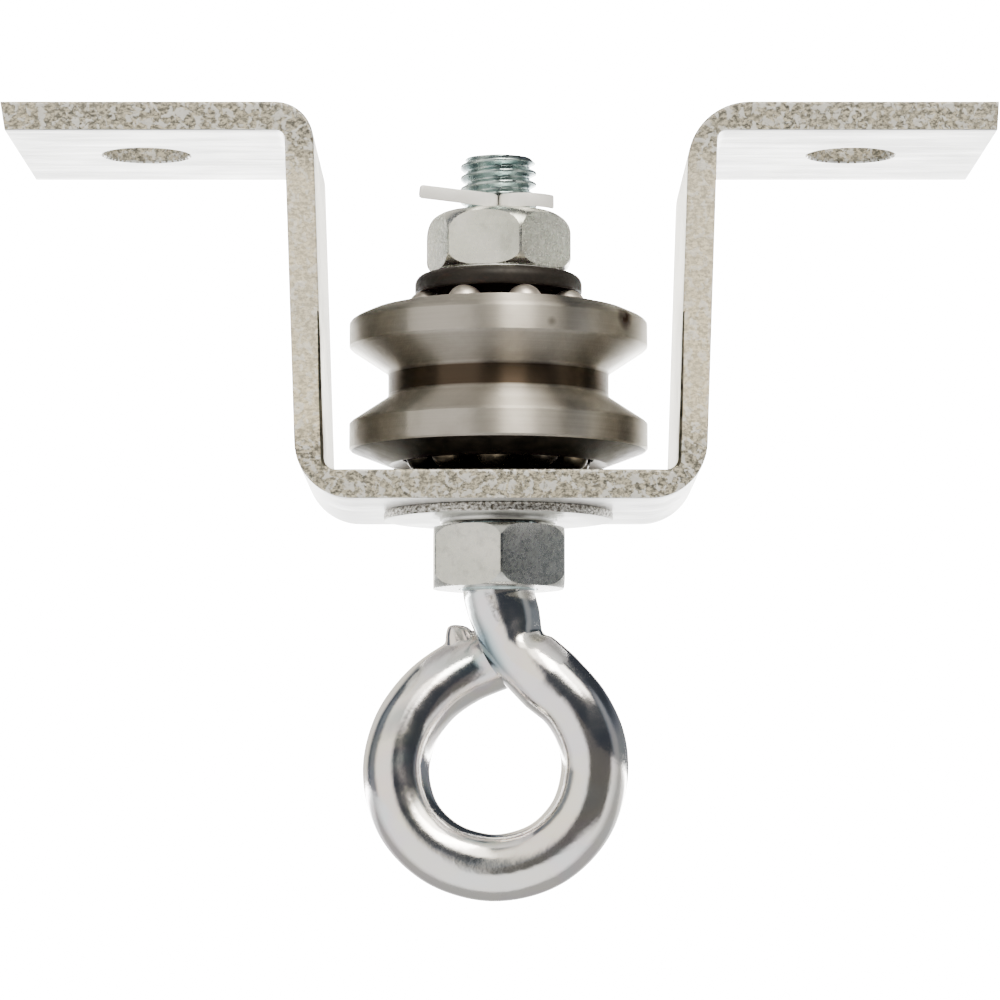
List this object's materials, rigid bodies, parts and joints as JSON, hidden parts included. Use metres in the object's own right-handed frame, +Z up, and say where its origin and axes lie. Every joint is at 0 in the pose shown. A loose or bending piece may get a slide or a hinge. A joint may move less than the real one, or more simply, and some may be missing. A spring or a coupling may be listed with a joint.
{
  "type": "swivel hanger bracket",
  "caption": "Hat-shaped strip bracket that hangs from a beam; a grooved ball-bearing wheel inside it carries a closed eye bolt that swivels.",
  "frame": {"origin": "centre of the two flange holes, on the mounting plane (the top faces of the flanges)", "axes": "+X along the strip through both flange holes, +Y across the strip, +Z up into the beam; the eye hangs at -Z"},
  "size_m": [0.1276, 0.0392, 0.1019],
  "materials": {
    "zinc_strip": "bright zinc plate on hot-rolled strip, grainy sheared edges",
    "zinc_nut": "zinc plated hexagon nut, faintly greenish grey",
    "zinc_washer": "bright zinc plated pressed washer",
    "zinc_bolt": "bright zinc plated bent rod with faint iridescence",
    "pin_steel": "bright drawn half-round wire",
    "turned_steel": "turned bare steel with fine lathe lines, oiled",
    "black_oxide": "black-brown oxide with grease and a trace of rust",
    "cage_steel": "dark pressed strip, greasy",
    "ball_steel": "polished bearing ball, oiled"
  },
  "bodies": {
    "bracket": {"bracket": "zinc_strip", "lower_cone": "black_oxide", "base_washer": "zinc_washer"},
    "lower_ball_row": {"lower_ball_1": "ball_steel", "lower_ball_2": "ball_steel", "lower_ball_3": "ball_steel", "lower_ball_4": "ball_steel", "lower_ball_5": "ball_steel", "lower_ball_6": "ball_steel", "lower_ball_7": "ball_steel", "lower_ball_8": "ball_steel", "lower_ball_9": "ball_steel", "lower_ball_10": "ball_steel", "lower_cage": "cage_steel"},
    "wheel": {"grooved_wheel": "turned_steel"},
    "upper_ball_row": {"upper_ball_1": "ball_steel", "upper_ball_2": "ball_steel", "upper_ball_3": "ball_steel", "upper_ball_4": "ball_steel", "upper_ball_5": "ball_steel", "upper_ball_6": "ball_steel", "upper_ball_7": "ball_steel", "upper_ball_8": "ball_steel", "upper_cage": "cage_steel"},
    "eye_bolt": {"eye_bolt": "zinc_bolt", "upper_nut": "zinc_nut", "upper_washer": "zinc_washer", "split_pin": "pin_steel", "upper_cone": "black_oxide", "lower_nut": "zinc_nut"}
  },
  "joints": [
    {"name": "wheel_spin", "type": "hinge", "parent": "bracket", "child": "wheel", "pos_m": [0, 0, -0.0344], "axis": [0, 0, 1], "continuous": true},
    {"name": "lower_balls_spin", "type": "hinge", "parent": "bracket", "child": "lower_ball_row", "pos_m": [0, 0, -0.0438], "axis": [0, 0, 1], "continuous": true},
    {"name": "eye_swivel", "type": "hinge", "parent": "wheel", "child": "eye_bolt", "pos_m": [0, 0, -0.0246], "axis": [0, 0, 1], "continuous": true},
    {"name": "upper_balls_spin", "type": "hinge", "parent": "wheel", "child": "upper_ball_row", "pos_m": [0, 0, -0.0246], "axis": [0, 0, 1], "continuous": true}
  ],
  "couplings": [
    {"joint": "lower_balls_spin", "follows": "wheel_spin", "ratio": 0.58335},
    {"joint": "upper_balls_spin", "follows": "eye_swivel", "ratio": 0.41665}
  ]
}
